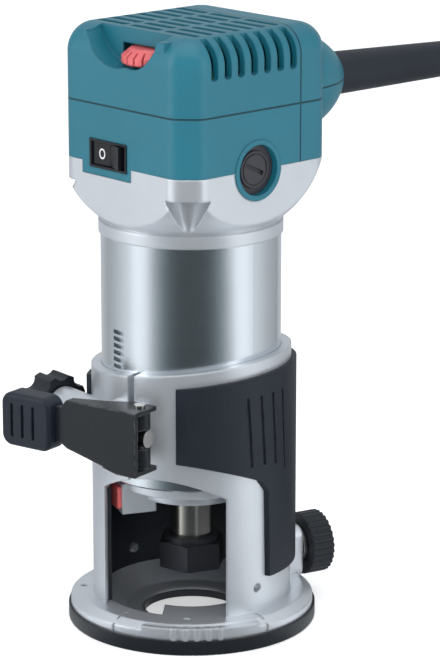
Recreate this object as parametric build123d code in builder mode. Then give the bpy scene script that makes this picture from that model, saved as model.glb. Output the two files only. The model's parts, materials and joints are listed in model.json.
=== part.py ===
from build123d import *
from math import cos, pi, radians, sin, tan
import os

# Trim router: a round motor unit clamped in a small windowed base. Millimetres.
# Origin: on the spindle's axis at the underside of the sole. +Z is up, -Y is the side with the switch and
# the speed dial, +Y is the side that the mains lead leaves. Azimuths are degrees from -Y towards +X.

os.makedirs("parts", exist_ok=True)

# Base
SOLE_R = 45.5
SOLE_RIM_TOP = 5.5
SOLE_FLOOR = 2.8
SOLE_POCKET_R = 43.2
OPENING_R = 17.5
BOWL_R = 24.0
BOWL_Z = 4.2
FLANGE_R = 44.6
FLANGE_EDGE = 8.3
FLANGE_TOP = 10.5
COLLAR_R = 36.3
COLLAR_BORE_R = 32.57
RIM_MID_Z = 100.4
RIM_SLOPE = 0.112
LEG_AZ = 117.0
WINDOW_AZ = 28.0
WINDOW_HALF = 23.2
WINDOW_TOP = 62.3
WINDOW_SPRING = 55.0
SPLIT_AZ = 12.0
SPLIT_W = 2.5
EAR_OUT = 50.5
EAR_HALF_T = 7.0
EAR_LOW = 71.2
EAR_HIGH = 89.8
BOLT_N = 45.8
BOLT_Z = 81.0
GRIP_R = 38.2
GRIP_IN = 36.35
LINER_R = 34.4
LINER_IN = 32.62
LINER_TOP = 53.6
LINER_SCREWS = ((270, 17.2), (161, 33.0))
ACCESSORY_AZ = 88.6
ACCESSORY_Z = 19.4
GUIDE_AZ = 167.0
GUIDE_Z = 19.3
GUIDE_SCREW_R = 3.0
SOLE_SCREW_R = 36.0
SOLE_SCREW_AZ = (72, 162, 252, 342)

# Depth adjuster: a pinion in the base meshes with slots in the motor's barrel
RACK_AZ = -5.0
PINION_Z = 80.0
PINION_AXIS_R = 36.1
PINION_TEETH = 10
MODULE = 0.8
PINION_TIP_R = 4.8
PINION_ROOT_R = 3.0
RACK_PITCH = pi * MODULE
SLOTS_BELOW = 7
SLOTS_ABOVE = 13
SHAFT_R = 2.6
DEPTH_KNOB_R = 10.6

# Clamp lever, laid out tangent (t) and outward (n) from the split
LEVER_HIGH = 92.2
LEVER_LOW = 68.8
LEVER_SHEET = 1.6
LEVER_OUT = 54.3
PIVOT_T = 11.0
PIVOT_R = 2.0

# Motor unit
BARREL_R = 32.5
BARREL_IN = 29.5
BARREL_LOW = 57.0
BARREL_HIGH = 146.0
NECK_R = 33.2
NECK_TOP = 152.0
HEAD_X = 35.0
HEAD_FRONT = 33.5
HEAD_BACK = 38.0
CORNER = 7.0
SEAM_LOW = 173.0
SEAM_MID = 194.0
HEAD_TOP = 221.0
REAR_SEAM_Y = 20.5
WALL = 2.8
BRUSH_Z = 172.8
BRUSH_RING_R = 10.8
TAIL_END = 67.8
GUARD_END = 136.0

# Rotor
SPINDLE_R = 8.0
NUT_AF = 22.0
COLLET_BORE_R = 3.0

# Mains lead
LEAD_D = 7.5
FLOOR_LEAD_Z = 3.8
COIL_X = 53.0
COIL_Y = 163.0
COIL_MEAN_R = 43.0


def polar(radius, azimuth, z=0.0):
    """A point at an azimuth measured from -Y towards +X."""
    a = radians(azimuth)
    return (radius * sin(a), -radius * cos(a), z)


def outward(azimuth, radius, z):
    """A plane facing outward at an azimuth: its x runs towards larger azimuths and its y up."""
    a = radians(azimuth)
    return Plane(origin=polar(radius, azimuth, z), x_dir=(cos(a), sin(a), 0), z_dir=(sin(a), -cos(a), 0))


def clamp_point(t, n, z=0.0):
    """A point t along the split's tangent and n out from the axis."""
    a = radians(SPLIT_AZ)
    return (t * cos(a) + n * sin(a), t * sin(a) - n * cos(a), z)


def clamp_plan(z):
    """A level plane whose x runs along the split's tangent and whose y runs outward."""
    a = radians(SPLIT_AZ)
    return Plane(origin=(0, 0, z), x_dir=(cos(a), sin(a), 0), z_dir=(0, 0, -1))


def rim_plane(drop):
    """The slanted plane of the collar's rim, lowered by drop."""
    a = radians(LEG_AZ)
    normal = (-RIM_SLOPE * sin(a), RIM_SLOPE * cos(a), 1)
    return Plane(origin=(0, 0, RIM_MID_Z - drop), z_dir=normal)


def wedge(start, end, reach):
    """A pie slice between two azimuths."""
    with BuildSketch() as pie:
        with BuildLine():
            Polyline(polar(reach, start)[:2], (0, 0), polar(reach, end)[:2])
            middle = (start + end) / 2
            ThreePointArc(polar(reach, start)[:2], polar(reach, middle)[:2], polar(reach, end)[:2])
        make_face()
    return pie.sketch


def save(piece, name):
    """Labels a finished piece and writes it."""
    piece.part.label = name
    export_step(piece.part, f"parts/{name}.step")


def head_outline(inset=0.0):
    """The head's plan, a rectangle with softened corner faces, drawn inset from the outside."""
    x = HEAD_X - inset
    front = -HEAD_FRONT + inset
    back = HEAD_BACK - inset
    cut = CORNER - inset * 0.59
    with BuildSketch() as plan:
        with BuildLine():
            Polyline(
                (x - cut, front), (x, front + cut), (x, back - cut), (x - cut, back),
                (-x + cut, back), (-x, back - cut), (-x, front + cut), (-x + cut, front), close=True,
            )
        make_face()
        fillet(plan.vertices(), 7.0 - inset * 0.4)
    return plan.sketch


# ---------------------------------------------------------------- base

# Black sole plate with a raised rim
with BuildPart() as sub_base:
    with BuildSketch():
        Circle(SOLE_R)
        Circle(OPENING_R, mode=Mode.SUBTRACT)
    extrude(amount=SOLE_RIM_TOP)
    with BuildSketch(Plane.XY.offset(SOLE_FLOOR)):
        Circle(SOLE_POCKET_R)
    extrude(amount=SOLE_RIM_TOP, mode=Mode.SUBTRACT)
    fillet(sub_base.faces().sort_by(Axis.Z)[0].outer_wire().edges(), 0.8)
    with Locations(*[Location(polar(SOLE_SCREW_R, a), (180, 0, 0)) for a in SOLE_SCREW_AZ]):
        CounterSinkHole(radius=2.2, counter_sink_radius=4.2, depth=SOLE_FLOOR)
save(sub_base, "sub_base")

# Four countersunk screws that hold the sole plate
with BuildPart() as sub_base_screws:
    for azimuth in SOLE_SCREW_AZ:
        x, y, z = polar(SOLE_SCREW_R, azimuth)
        with BuildSketch(Plane(origin=(x, y, 0), x_dir=(1, 0, 0), z_dir=(0, -1, 0))):
            with BuildLine():
                Polyline((0, 0.3), (3.8, 0.3), (2.0, 2.3), (2.0, 8.3), (0, 8.3), close=True)
            make_face()
        revolve(axis=Axis((x, y, 0), (0, 0, 1)))
save(sub_base_screws, "sub_base_screws")


def window_prism(azimuth):
    """The outline of a window, pushed outward through the collar."""
    half = WINDOW_HALF
    with BuildPart() as prism:
        with BuildSketch(outward(azimuth, 12, 0)):
            with BuildLine():
                Line((-half, FLANGE_TOP), (half, FLANGE_TOP))
                Line((half, FLANGE_TOP), (half, WINDOW_SPRING))
                ThreePointArc((half, WINDOW_SPRING), (0, WINDOW_TOP), (-half, WINDOW_SPRING))
                Line((-half, WINDOW_SPRING), (-half, FLANGE_TOP))
            make_face()
        extrude(amount=27.5)
    return prism.part


# Cast base: flange, two legs, split collar, clamp ears, pinion housing and guide lug
pinion_axis = Plane(
    origin=polar(PINION_AXIS_R, RACK_AZ, PINION_Z),
    x_dir=(0, 0, 1),
    z_dir=polar(1, RACK_AZ - 90),
)
with BuildPart() as base_casting:
    with BuildSketch(Plane.XY.offset(SOLE_FLOOR)):
        Circle(SOLE_POCKET_R - 0.2)
    extrude(amount=SOLE_RIM_TOP - SOLE_FLOOR)
    with BuildSketch(Plane.XY.offset(SOLE_RIM_TOP)):
        Circle(FLANGE_R)
    extrude(amount=FLANGE_EDGE - SOLE_RIM_TOP)
    with Locations((0, 0, (FLANGE_EDGE + FLANGE_TOP) / 2)):
        Cone(FLANGE_R, FLANGE_R - 3.4, FLANGE_TOP - FLANGE_EDGE)
    # Upright pad at the front of the rim
    with BuildSketch(Plane.XY.offset(SOLE_RIM_TOP)):
        add(wedge(24, 81, FLANGE_R))
        Circle(38, mode=Mode.SUBTRACT)
    extrude(amount=9.9 - SOLE_RIM_TOP)
    with BuildSketch(Plane.XY.offset(FLANGE_TOP - 1)):
        Circle(COLLAR_R)
    extrude(amount=RIM_MID_Z)
    split(bisect_by=rim_plane(0), keep=Keep.BOTTOM)
    # Clamp ears beside the split
    with BuildSketch(clamp_plan(EAR_LOW)):
        with Locations((0, (COLLAR_R - 3 + EAR_OUT) / 2)):
            RectangleRounded(2 * EAR_HALF_T, EAR_OUT - COLLAR_R + 3, 1.5)
    extrude(amount=-(EAR_HIGH - EAR_LOW))
    # Housing around the pinion's shaft
    with BuildSketch(pinion_axis.offset(-2.6)):
        Circle(6.8)
    extrude(amount=32)
    # Lug for the guide's thumb screw
    with BuildSketch(outward(GUIDE_AZ, COLLAR_R - 3, GUIDE_Z)):
        with Locations((0, -1.5)):
            RectangleRounded(13, 20, 4)
    extrude(amount=10.6)
    # Bore and bowl around the cutter
    with BuildSketch(Plane.XZ):
        with BuildLine():
            Polyline(
                (0, 0), (OPENING_R, 0), (OPENING_R, SOLE_FLOOR), (BOWL_R, BOWL_Z),
                (COLLAR_BORE_R, FLANGE_TOP - 0.2), (COLLAR_BORE_R, 120), (0, 120), close=True,
            )
        make_face()
    revolve(axis=Axis.Z, mode=Mode.SUBTRACT)
    # Front and back windows
    for azimuth in (WINDOW_AZ, WINDOW_AZ + 180):
        add(window_prism(azimuth), mode=Mode.SUBTRACT)
    # Recess for the liner in the inner face of the legs
    with BuildSketch(Plane.XY.offset(FLANGE_TOP)):
        add(wedge(149.5, 345.5, LINER_R + 0.05))
    extrude(amount=LINER_TOP + 0.1 - FLANGE_TOP, mode=Mode.SUBTRACT)
    # Flat block inside the front of the flange, its left side along azimuth 43
    with BuildSketch(Plane.XY.offset(3.2)) as front_block:
        Circle(COLLAR_BORE_R + 0.8)
        Circle(22.2, mode=Mode.SUBTRACT)
        with Locations(Location(polar(26, 43), (0, 0, 43))):
            with Locations((4, 0)):
                Rectangle(24, 24, mode=Mode.INTERSECT)
    extrude(amount=FLANGE_TOP - 0.1 - 3.2)
    # Split through the collar and the ears
    with BuildSketch(clamp_plan(WINDOW_SPRING)):
        with Locations((0, 42)):
            Rectangle(SPLIT_W, 30)
    extrude(amount=-60, mode=Mode.SUBTRACT)
    # Tie bolt's hole through both ears
    with BuildSketch(Plane(origin=clamp_point(-10, BOLT_N, BOLT_Z), z_dir=polar(1, SPLIT_AZ + 90))):
        Circle(2.6)
    extrude(amount=20, mode=Mode.SUBTRACT)
    # Pocket for the pinion and bore for its shaft
    with BuildSketch(pinion_axis.offset(-3.4)):
        Circle(PINION_TIP_R + 0.45)
    extrude(amount=6.6, mode=Mode.SUBTRACT)
    with BuildSketch(pinion_axis.offset(3)):
        Circle(SHAFT_R + 0.05)
    extrude(amount=30, mode=Mode.SUBTRACT)
    # Threaded holes: guide screw, accessory screw in the leg, sole screws
    with BuildSketch(outward(GUIDE_AZ, COLLAR_R - 6, GUIDE_Z)):
        Circle(GUIDE_SCREW_R + 0.05)
    extrude(amount=20, mode=Mode.SUBTRACT)
    with BuildSketch(outward(ACCESSORY_AZ, COLLAR_R - 6, ACCESSORY_Z)):
        Circle(1.65)
    extrude(amount=12, mode=Mode.SUBTRACT)
    for azimuth in SOLE_SCREW_AZ:
        with BuildSketch(Plane(origin=polar(SOLE_SCREW_R, azimuth, 1))):
            Circle(2.0)
        extrude(amount=7.6, mode=Mode.SUBTRACT)
    for azimuth, height in LINER_SCREWS:
        with BuildSketch(outward(azimuth, LINER_R - 1, height)):
            Circle(1.25)
        extrude(amount=2.5, mode=Mode.SUBTRACT)
    # Small blind holes in the flange's top
    for radius, azimuth in ((39.8, -43.4), (35.9, 44.9)):
        with BuildSketch(Plane(origin=polar(radius, azimuth, FLANGE_TOP - 2.2))):
            Circle(1.3)
        extrude(amount=4, mode=Mode.SUBTRACT)
    # Radial marks across the flange and its rim
    for azimuth in (8.8, 85.5):
        for reach, low in ((36.8, FLANGE_TOP - 0.8), (FLANGE_R - 0.7, SOLE_RIM_TOP + 0.1)):
            with BuildSketch(outward(azimuth, reach, 0)):
                with Locations((0, low + 5)):
                    Rectangle(0.8, 10)
            extrude(amount=10, mode=Mode.SUBTRACT)
    # Finger ribs on the front of the flange
    for i in range(5):
        with BuildSketch(Plane(origin=polar(FLANGE_R - 0.5, 39.5 + 5.4 * i, SOLE_RIM_TOP + 0.1))):
            Circle(1.4)
        extrude(amount=4.6)
save(base_casting, "base_casting")


def grip(outline, centre_az, top_drop, groove_offsets):
    """A rubber skin on the collar: a ring cut to an outline seen along centre_az, with thin grooves."""
    with BuildPart() as skin:
        with BuildSketch(Plane.XY.offset(20)):
            Circle(GRIP_R)
            Circle(GRIP_IN, mode=Mode.SUBTRACT)
        extrude(amount=90)
        split(bisect_by=rim_plane(top_drop), keep=Keep.BOTTOM)
        with BuildSketch(outward(centre_az, 8, 0)):
            with BuildLine():
                Polyline(*outline, close=True)
            make_face()
        extrude(amount=40, mode=Mode.INTERSECT)
        for offset_az, low, high in groove_offsets:
            with BuildSketch(outward(centre_az + offset_az, GRIP_R - 0.8, 0)):
                with Locations((0, (low + high) / 2)):
                    Rectangle(1.2, high - low, rotation=4)
            extrude(amount=3, mode=Mode.SUBTRACT)
    return skin


RIGHT_GRIP_OUTLINE = (
    (-36.2, 68.8), (-17.9, 60.2), (-14.6, 55.5), (-13.9, 23.2), (13.9, 23.2),
    (14.6, 55.5), (17.9, 60.2), (36.2, 68.8), (36.2, 110), (-36.2, 110),
)
RIGHT_GROOVES = ((-36, 66, 92), (-27, 66, 92), (-18, 65, 92), (-9, 62, 92))
right_grip = grip(RIGHT_GRIP_OUTLINE, LEG_AZ, 5.0, RIGHT_GROOVES)
save(right_grip, "right_grip")
LEFT_GRIP_OUTLINE = ((-29, 71), (18, 71), (18, 110), (-29, 110))
left_grip = grip(LEFT_GRIP_OUTLINE, LEG_AZ + 170, 5.0, [(-10, 74, 89), (0, 74, 89), (10, 74, 89)])
save(left_grip, "left_grip")

# Black liner that keeps chips in at the back and the left leg
with BuildPart() as chip_deflector:
    with BuildSketch(Plane.XY.offset(FLANGE_TOP + 0.1)):
        add(wedge(150, 345, LINER_R))
        Circle(LINER_IN, mode=Mode.SUBTRACT)
    extrude(amount=LINER_TOP - FLANGE_TOP - 0.1)
    for azimuth, height in LINER_SCREWS:
        with BuildSketch(outward(azimuth, LINER_IN - 2, height)):
            Circle(2.25)
        extrude(amount=6, mode=Mode.SUBTRACT)
save(chip_deflector, "chip_deflector")

# Two dome-headed screws that hold the liner to the left leg and the right leg
with BuildPart() as deflector_screws:
    for azimuth, height in LINER_SCREWS:
        with BuildSketch(outward(azimuth, LINER_IN, height)):
            Circle(2.2)
        extrude(amount=0.9)
        with BuildSketch(outward(azimuth, LINER_IN, height)):
            Circle(2.2)
        extrude(amount=-0.9, taper=35)
        with BuildSketch(outward(azimuth, LINER_IN + 0.8, height)):
            Circle(1.2)
        extrude(amount=2.3)
save(deflector_screws, "deflector_screws")

# Tie bolt through the ears, with a flat eye that carries the lever's pin
tie_line = Plane(origin=clamp_point(0, BOLT_N, BOLT_Z), x_dir=(0, 0, 1), z_dir=polar(1, SPLIT_AZ + 90))
with BuildPart() as tie_bolt:
    with BuildSketch(tie_line.offset(-11.5)):
        Circle(2.5)
    extrude(amount=20)
    with BuildSketch(tie_line.offset(7.6)):
        Circle(3.1)
    extrude(amount=7.2)
    with BuildSketch(Plane(origin=clamp_point(PIVOT_T, BOLT_N, BOLT_Z - 5))):
        Circle(PIVOT_R)
    extrude(amount=10, mode=Mode.SUBTRACT)
save(tie_bolt, "tie_bolt")

with BuildPart() as tie_nut:
    with BuildSketch(tie_line.offset(-11.2)):
        RegularPolygon(4.1, 6)
        Circle(2.5, mode=Mode.SUBTRACT)
    extrude(amount=3.6)
save(tie_nut, "tie_nut")

with BuildPart() as lever_pin:
    with BuildSketch(Plane(origin=clamp_point(PIVOT_T, BOLT_N, LEVER_LOW - 0.9))):
        Circle(PIVOT_R)
    extrude(amount=LEVER_HIGH - LEVER_LOW + 1.8)
save(lever_pin, "lever_pin")

# ---------------------------------------------------------------- clamp lever

FLANGE_PLAN = ((15, 41.5), (15, LEVER_OUT), (-15, LEVER_OUT), (-15, 50.4), (-3, 46.5), (6.4, 41.5))
with BuildPart() as clamp_lever:
    # Web, narrowing to the neck that carries the pad
    with BuildSketch(outward(SPLIT_AZ, LEVER_OUT - 2, 0)):
        with BuildLine():
            Polyline(
                (15, LEVER_LOW), (15, LEVER_HIGH), (-15, LEVER_HIGH), (-17.5, 89.5), (-36, 88.5),
                (-36, 76), (-17.5, 76), (-15, 74.5), (9, LEVER_LOW), close=True,
            )
        make_face()
    extrude(amount=2)
    for low in (LEVER_LOW, LEVER_HIGH - LEVER_SHEET):
        with BuildSketch(Plane.XY.offset(low)):
            with BuildLine():
                Polyline(*[clamp_point(t, n)[:2] for t, n in FLANGE_PLAN], close=True)
            make_face()
        extrude(amount=LEVER_SHEET)
    # The lower flange follows the web's slanting lower edge
    with BuildSketch(outward(SPLIT_AZ, 30, 0)):
        with BuildLine():
            Polyline((8, LEVER_LOW - 0.3), (-15.5, 74.5), (-15.5, 60), (8, 60), close=True)
        make_face()
    extrude(amount=40, mode=Mode.SUBTRACT)
    # Cam drums either side of the tie bolt's eye
    for low, high in ((LEVER_LOW, 77.6), (84.4, LEVER_HIGH)):
        with BuildSketch(Plane(origin=clamp_point(PIVOT_T, BOLT_N, low))):
            Circle(3.7)
        extrude(amount=high - low)
    with BuildSketch(Plane(origin=clamp_point(PIVOT_T, BOLT_N, 60))):
        Circle(PIVOT_R + 0.06)
    extrude(amount=40, mode=Mode.SUBTRACT)
save(clamp_lever, "clamp_lever")

# Moulded finger pad on the lever's neck
with BuildPart() as lever_pad:
    with BuildSketch(outward(SPLIT_AZ, LEVER_OUT - 4.6, 0)):
        with Locations((-31, 82.2)):
            RectangleRounded(22, 19.6, 4.2)
    extrude(amount=8.2)
    fillet(lever_pad.faces().sort_by(Axis((0, 0, 0), polar(1, SPLIT_AZ)))[-1].edges(), 1.6)
    with BuildSketch(outward(SPLIT_AZ, LEVER_OUT + 2.4, 0)):
        with Locations((-37, 82.2), (-32.2, 82.2), (-27.4, 82.2)):
            RectangleRounded(1.3, 12.5, 0.6)
    extrude(amount=4, mode=Mode.SUBTRACT)
    add(clamp_lever.part, mode=Mode.SUBTRACT)
save(lever_pad, "lever_pad")

# ---------------------------------------------------------------- depth adjuster

with BuildSketch() as pinion_tooth:
    with BuildLine():
        Polyline(
            (PINION_ROOT_R - 0.4, -0.62), (PINION_TIP_R - 0.15, -0.22), (PINION_TIP_R, 0),
            (PINION_TIP_R - 0.15, 0.22), (PINION_ROOT_R - 0.4, 0.62), close=True,
        )
    make_face()

# Ten teeth, one of them square to the barrel
with BuildPart() as pinion_shaft:
    with BuildSketch(pinion_axis.offset(-2.7)):
        Circle(PINION_ROOT_R)
        for tooth in range(PINION_TEETH):
            add(pinion_tooth.sketch.rotate(Axis.Z, 90 + 360 / PINION_TEETH * tooth))
    extrude(amount=5.4)
    with BuildSketch(pinion_axis.offset(2.7)):
        Circle(SHAFT_R)
    extrude(amount=38)
save(pinion_shaft, "pinion_shaft")

with BuildPart() as depth_knob:
    with BuildSketch(pinion_axis.offset(30.2)):
        Circle(DEPTH_KNOB_R)
        with PolarLocations(DEPTH_KNOB_R + 1.6, 8):
            Circle(3.4, mode=Mode.SUBTRACT)
        Circle(SHAFT_R, mode=Mode.SUBTRACT)
    extrude(amount=11)
    outer_face = depth_knob.faces().sort_by(Axis((0, 0, 0), polar(1, RACK_AZ - 90)))[-1]
    chamfer(outer_face.outer_wire().edges(), 0.8)
save(depth_knob, "depth_knob")

# ---------------------------------------------------------------- guide clamp

guide_axis = outward(GUIDE_AZ, 0, GUIDE_Z)
with BuildPart() as guide_washer:
    with BuildSketch(guide_axis.offset(44.3)):
        Circle(7.0)
        Circle(GUIDE_SCREW_R + 0.08, mode=Mode.SUBTRACT)
    extrude(amount=1.4)
save(guide_washer, "guide_washer")

with BuildPart() as guide_screw:
    with BuildSketch(guide_axis.offset(34.6)):
        Circle(GUIDE_SCREW_R)
    extrude(amount=18)
save(guide_screw, "guide_screw")

with BuildPart() as guide_knob:
    with BuildSketch(guide_axis.offset(46.0)):
        Circle(11.7)
        with PolarLocations(12.0, 30):
            Circle(0.8, mode=Mode.SUBTRACT)
        Circle(GUIDE_SCREW_R, mode=Mode.SUBTRACT)
    extrude(amount=8.8)
    with BuildSketch(guide_axis.offset(53.4)):
        Circle(8.5)
        Circle(4.2, mode=Mode.SUBTRACT)
    extrude(amount=4, mode=Mode.SUBTRACT)
save(guide_knob, "guide_knob")

# ---------------------------------------------------------------- motor unit

# Polished aluminium barrel with the depth rack's slots
with BuildPart() as motor_barrel:
    with BuildSketch(Plane.XY.offset(BARREL_LOW)):
        Circle(BARREL_R)
        Circle(BARREL_IN, mode=Mode.SUBTRACT)
    extrude(amount=BARREL_HIGH - BARREL_LOW)
    with BuildSketch(outward(RACK_AZ, BARREL_R - 1.7, PINION_Z)):
        with Locations(*[(0, RACK_PITCH * k) for k in range(-SLOTS_BELOW, SLOTS_ABOVE + 1)]):
            Rectangle(5.9, 1.5)
    extrude(amount=4, mode=Mode.SUBTRACT)
    lowest_circles = motor_barrel.edges().filter_by(GeomType.CIRCLE).group_by(Axis.Z)[0]
    chamfer(lowest_circles.sort_by(SortBy.RADIUS)[-1], 0.6)
save(motor_barrel, "motor_barrel")

# Lower bearing bracket with its boss for the spindle lock
LOCK_AZ = -23.0
LOCK_Z = 49.2
with BuildPart() as bearing_bracket:
    with BuildSketch(Plane.XY.offset(53)):
        Circle(28.4)
    extrude(amount=4)
    with BuildSketch(Plane.XY.offset(57)):
        Circle(BARREL_IN)
    extrude(amount=5.5)
    with BuildSketch(Plane.XY.offset(48.2)):
        Circle(20.5)
    extrude(amount=5)
    with BuildSketch(outward(LOCK_AZ, 16, LOCK_Z)):
        Rectangle(14, 11.4)
    extrude(amount=12.8)
    with BuildSketch(Plane.XY.offset(40)):
        Circle(SPINDLE_R + 0.6)
    extrude(amount=30, mode=Mode.SUBTRACT)
    with BuildSketch(Plane.XY.offset(51)):
        Circle(17.5)
    extrude(amount=20, mode=Mode.SUBTRACT)
    with BuildSketch(outward(LOCK_AZ, 20.5, LOCK_Z)):
        Rectangle(10.4, 8.9)
    extrude(amount=12, mode=Mode.SUBTRACT)
    with BuildSketch(outward(LOCK_AZ, 7, LOCK_Z)):
        Circle(1.85)
    extrude(amount=15, mode=Mode.SUBTRACT)
save(bearing_bracket, "bearing_bracket")


def ball_bearing(bore, outer, low, height, name):
    """A sealed ball bearing as one closed ring with grooved faces."""
    with BuildPart() as bearing:
        with BuildSketch(Plane.XY.offset(low)):
            Circle(outer)
            Circle(bore, mode=Mode.SUBTRACT)
        extrude(amount=height)
        for z in (low, low + height - 0.5):
            with BuildSketch(Plane.XY.offset(z)):
                Circle(outer - (outer - bore) * 0.25)
                Circle(bore + (outer - bore) * 0.25, mode=Mode.SUBTRACT)
            extrude(amount=0.5, mode=Mode.SUBTRACT)
    save(bearing, name)


LOWER_SEAT_R = 7.5
UPPER_SEAT_R = 4.0
ball_bearing(LOWER_SEAT_R + 0.05, 17.5, 51.0, 11, "lower_bearing")
ball_bearing(UPPER_SEAT_R + 0.05, 11.0, 184.5, 7, "upper_bearing")

# Rotor shaft: taper bore for the collet, thread at the nose, seats for both bearings
with BuildPart() as armature_shaft:
    with BuildSketch(Plane.XZ):
        with BuildLine():
            Polyline(
                (0, 44.2), (3.6, 44.2), (4.6, 41.2), (6.15, 25.2), (SPINDLE_R, 25.2), (SPINDLE_R, 50.6),
                (LOWER_SEAT_R, 50.6), (LOWER_SEAT_R, 62.4), (6, 62.4), (6, 90), (5, 90), (5, 182),
                (UPPER_SEAT_R, 182), (UPPER_SEAT_R, 192.5), (0, 192.5), close=True,
            )
        make_face()
    revolve(axis=Axis.Z)
    # Cross holes that the lock's pin enters, one every quarter turn
    for turn in (0, 90, 180, 270):
        with BuildSketch(outward(LOCK_AZ + turn, SPINDLE_R - 3.1, LOCK_Z)):
            Circle(1.9)
        extrude(amount=4, mode=Mode.SUBTRACT)
save(armature_shaft, "armature_shaft")

with BuildPart() as armature_core:
    with BuildSketch(Plane.XY.offset(91)):
        Circle(14.2)
        with PolarLocations(13.2, 12):
            Rectangle(4.2, 1.6, mode=Mode.SUBTRACT)
        Circle(5, mode=Mode.SUBTRACT)
    extrude(amount=40)
save(armature_core, "armature_core")

with BuildPart() as commutator:
    with BuildSketch(Plane.XY.offset(164)):
        Circle(10)
        with PolarLocations(9.9, 24):
            Rectangle(1.4, 0.5, mode=Mode.SUBTRACT)
        Circle(5, mode=Mode.SUBTRACT)
    extrude(amount=17)
save(commutator, "commutator")

with BuildPart() as fan:
    with BuildSketch(Plane.XY.offset(66)):
        Circle(26.5)
        Circle(6, mode=Mode.SUBTRACT)
    extrude(amount=1.4)
    with BuildSketch(Plane.XY.offset(66)):
        Circle(9)
        Circle(6, mode=Mode.SUBTRACT)
    extrude(amount=10)
    with BuildSketch(Plane.XY.offset(67.4)):
        with PolarLocations(18.5, 14):
            Rectangle(14, 1.2, rotation=24)
    extrude(amount=7)
save(fan, "fan")

with BuildPart() as stator_core:
    with BuildSketch(Plane.XY.offset(90)):
        Circle(29.2)
        Circle(23.5, mode=Mode.SUBTRACT)
        with BuildLine():
            Polyline((-8, 14), (8, 14), (8, 25), (-8, 25), close=True)
        make_face()
        with BuildLine():
            Polyline((-8, -14), (8, -14), (8, -25), (-8, -25), close=True)
        make_face()
        Circle(14.9, mode=Mode.SUBTRACT)
    extrude(amount=42)
save(stator_core, "stator_core")

# One winding round each pole, the end turns standing above and below the core
with BuildPart() as field_coils:
    for side in (-1, 1):
        with BuildSketch(Plane.XZ.offset(-side * 16.2)):
            with Locations((0, 111)):
                RectangleRounded(22.8, 53, 4)
                RectangleRounded(16.6, 42.6, 1, mode=Mode.SUBTRACT)
        extrude(amount=-side * 4.2)
save(field_coils, "field_coils")

# ---------------------------------------------------------------- silver housing

BELL = ((33.0, NECK_TOP), (40.2, 159.0), (47.4, 176.0))
POSTS = ((28, -26.5), (-28, -26.5), (28, 31), (-28, 31))
SCOOP_R = 8.0
SCOOP_LOW = 151.0
SCOOP_TIP_AT = 34.4
COLUMN_LOW = 165.0


def bell(inset, low, high):
    """The flared body of revolution, cut to the head's plan, both drawn inset."""
    with BuildPart() as flare:
        with BuildSketch(Plane.XZ):
            with BuildLine():
                (r0, z0), (r1, z1), (r2, z2) = BELL
                Polyline((0, high), (0, low), (r0 - inset, low), (r0 - inset, z0))
                ThreePointArc((r0 - inset, z0), (r1 - inset, z1), (r2 - inset, z2))
                Polyline((r2 - inset, z2), (r2 - inset, z2 + 6), (0, z2 + 6), (0, high))
            make_face()
        revolve(axis=Axis.Z)
        with BuildSketch(Plane.XY.offset(low)):
            add(head_outline(inset))
        extrude(amount=high - low, mode=Mode.INTERSECT)
    return flare.part


def corner_cylinders(radius, low, high):
    """Four upright cylinders that straddle the head's corners."""
    with BuildPart() as cylinders:
        for px, py in POSTS:
            reach = 42.0 / (px * px + py * py) ** 0.5
            with BuildSketch(Plane(origin=(px * reach, py * reach, low))):
                Circle(radius)
            extrude(amount=high - low)
    return cylinders.part


def scoops():
    """Four leaning cones, narrow end down, that hollow the housing under the head's corners."""
    with BuildPart() as cones:
        for px, py in POSTS:
            share = 1 / (px * px + py * py) ** 0.5
            with BuildSketch(Plane(origin=(px * share * 42.0, py * share * 42.0, COLUMN_LOW))):
                Circle(SCOOP_R)
            with BuildSketch(Plane(origin=(px * share * SCOOP_TIP_AT, py * share * SCOOP_TIP_AT, SCOOP_LOW))):
                Circle(0.9)
            loft()
    return cones.part


with BuildPart() as housing_cavity:
    add(bell(3.0, 150.0, SEAM_LOW + 1))
    add(corner_cylinders(SCOOP_R + 2.6, 140, 190), mode=Mode.SUBTRACT)

with BuildPart() as motor_housing:
    add(bell(0.0, NECK_TOP - 0.6, SEAM_LOW))
    with BuildSketch(Plane.XY.offset(BARREL_HIGH)):
        Circle(NECK_R)
    extrude(amount=4.6)
    with BuildSketch(Plane.XY.offset(BARREL_HIGH)):
        Circle(NECK_R - 0.6)
    extrude(amount=NECK_TOP - BARREL_HIGH)
    with BuildSketch(Plane.XY.offset(136)):
        Circle(BARREL_IN)
    extrude(amount=12)
    with BuildSketch(Plane.XY.offset(130)):
        Circle(26.3)
    extrude(amount=22, mode=Mode.SUBTRACT)
    add(housing_cavity.part, mode=Mode.SUBTRACT)
    add(scoops(), mode=Mode.SUBTRACT)
    for px, py in POSTS:
        with BuildSketch(Plane(origin=(px, py, COLUMN_LOW - 1))):
            Circle(3.5)
        extrude(amount=5.5, mode=Mode.SUBTRACT)
        with BuildSketch(Plane(origin=(px, py, COLUMN_LOW))):
            Circle(1.95)
        extrude(amount=10, mode=Mode.SUBTRACT)
    # Room for the teal rings round the brush caps and for the switch's frame
    for side in (-1, 1):
        with BuildSketch(Plane(origin=(side * 25, 0, BRUSH_Z), z_dir=(side, 0, 0))):
            Circle(BRUSH_RING_R + 0.05)
        extrude(amount=15, mode=Mode.SUBTRACT)
    with BuildSketch(Plane(origin=(0, -28, 0), x_dir=(1, 0, 0), z_dir=(0, -1, 0))):
        with Locations((-7, 175)):
            Rectangle(26.1, 13.1)
    extrude(amount=10, mode=Mode.SUBTRACT)
save(motor_housing, "motor_housing")

# ---------------------------------------------------------------- teal covers

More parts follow.
